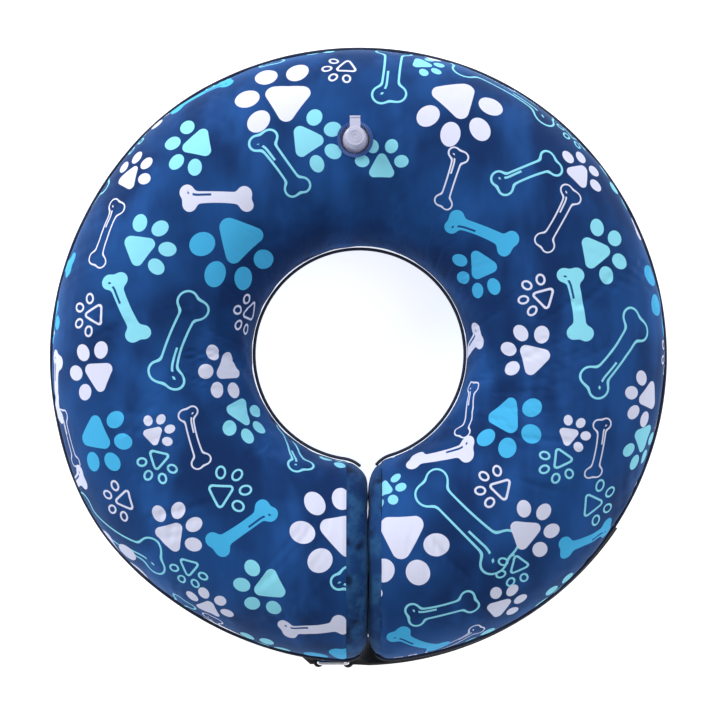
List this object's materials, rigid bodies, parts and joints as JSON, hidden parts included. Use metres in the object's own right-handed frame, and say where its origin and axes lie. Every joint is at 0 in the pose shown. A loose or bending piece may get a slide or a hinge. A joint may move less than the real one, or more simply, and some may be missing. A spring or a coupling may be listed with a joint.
{
  "type": "inflatable pet recovery collar",
  "caption": "Inflatable fabric ring collar, open at a slit that a webbing strap and metal ring close, with a capped air valve on its front and a zipped back.",
  "frame": {"origin": "on the ring's axis, in the plane that the back rests on", "axes": "+Z along the ring's axis towards the front face, +Y towards the top of the ring, opposite the slit, +X to the viewer's right"},
  "size_m": [0.373, 0.3773, 0.111],
  "materials": {
    "plush_print": "short velvet plush, printed",
    "plush_plain": "short velvet plush, plain",
    "piping_cord": "woven cord",
    "bladder_film": "flexible vinyl film",
    "clear_vinyl": "clear soft vinyl",
    "thread": "overlocked thread",
    "zip_tape": "woven tape",
    "zip_teeth": "moulded coil",
    "zip_metal": "plated, worn bright at edges",
    "webbing": "plain woven webbing, stitched",
    "hook_tape": "stiff hook pile",
    "loop_tape": "soft loop pile",
    "ring_metal": "bright plated wire"
  },
  "bodies": {
    "crown": {"cover_front_crown": "plush_print", "cover_back_crown": "plush_print", "bladder_crown": "bladder_film", "rim_piping_crown": "piping_cord", "neck_piping_crown": "piping_cord", "valve_buttonhole_ring": "thread", "valve_flange": "bladder_film", "valve_diaphragm": "clear_vinyl"},
    "left_arm": {"cover_front_left": "plush_print", "cover_back_left": "plush_print", "end_gusset_left": "plush_plain", "bladder_left": "bladder_film", "rim_piping_left": "piping_cord", "neck_piping_left": "piping_cord", "zipper_tape_front": "zip_tape", "zipper_tape_back": "zip_tape", "zipper_teeth_front": "zip_teeth", "zipper_teeth_back": "zip_teeth", "zipper_top_stop": "zip_metal", "zipper_bottom_stop": "zip_metal", "keeper_tab": "webbing"},
    "right_arm": {"cover_front_right": "plush_print", "cover_back_right": "plush_print", "end_gusset_right": "plush_plain", "bladder_right": "bladder_film", "rim_piping_right": "piping_cord", "neck_piping_right": "piping_cord", "rim_loop_tape": "loop_tape"},
    "valve": {"valve_stem": "clear_vinyl", "valve_tether": "clear_vinyl"},
    "valve_cap": {"valve_cap": "clear_vinyl"},
    "check_flap": {"valve_check_flap": "clear_vinyl"},
    "zipper_slider": {"zipper_slider": "zip_metal"},
    "zipper_pull": {"zipper_pull": "zip_metal"},
    "strap_ring": {"strap_ring": "ring_metal"},
    "closure_strap": {"closure_strap": "webbing", "strap_hook_tape": "hook_tape"}
  },
  "joints": [
    {"name": "left_arm_spread", "type": "hinge", "parent": "crown", "child": "left_arm", "pos_m": [-0.13294, 0.13294, 0.048], "axis": [0, 0, -1], "range_deg": [0, 12], "stiffness_Nm_per_rad": 1.5},
    {"name": "right_arm_spread", "type": "hinge", "parent": "crown", "child": "right_arm", "pos_m": [0.13294, 0.13294, 0.048], "axis": [0, 0, 1], "range_deg": [0, 12], "stiffness_Nm_per_rad": 1.5},
    {"name": "ring_swing", "type": "hinge", "parent": "left_arm", "child": "strap_ring", "pos_m": [-0.025, -0.1874, 0.0282], "axis": [0, 0, -1], "range_deg": [0, 36]},
    {"name": "strap_peel", "type": "hinge", "parent": "strap_ring", "child": "closure_strap", "pos_m": [-0.007, -0.1874, 0.0282], "axis": [0, 0, -1], "range_deg": [0, 95]},
    {"name": "valve_recess", "type": "slide", "parent": "crown", "child": "valve", "axis": [0, 0, -1], "range_m": [0, 0.008], "deforming": ["valve_diaphragm"]},
    {"name": "valve_cap_swing", "type": "hinge", "parent": "valve", "child": "valve_cap", "pos_m": [-0.0025, 0.1345, 0.10985], "axis": [-1, 0, 0], "range_deg": [0, 160]},
    {"name": "check_flap_swing", "type": "hinge", "parent": "valve", "child": "check_flap", "pos_m": [-0.0025, 0.1191, 0.0987], "axis": [-1, 0, 0], "range_deg": [0, 40], "stiffness_Nm_per_rad": 0.00003},
    {"name": "zipper_travel", "type": "hinge", "parent": "left_arm", "child": "zipper_slider", "pos_m": [0, 0, 0.018], "axis": [0, 0, 1], "range_deg": [0, 79]},
    {"name": "zipper_pull_swing", "type": "hinge", "parent": "zipper_slider", "child": "zipper_pull", "pos_m": [-0.15588, 0.075, 0.01632], "axis": [0.6202, -0.2984, -0.7255], "range_deg": [0, 150]}
  ],
  "couplings": [
    {"joint": "right_arm_spread", "follows": "left_arm_spread", "ratio": 1},
    {"joint": "ring_swing", "follows": "left_arm_spread", "ratio": 3}
  ]
}
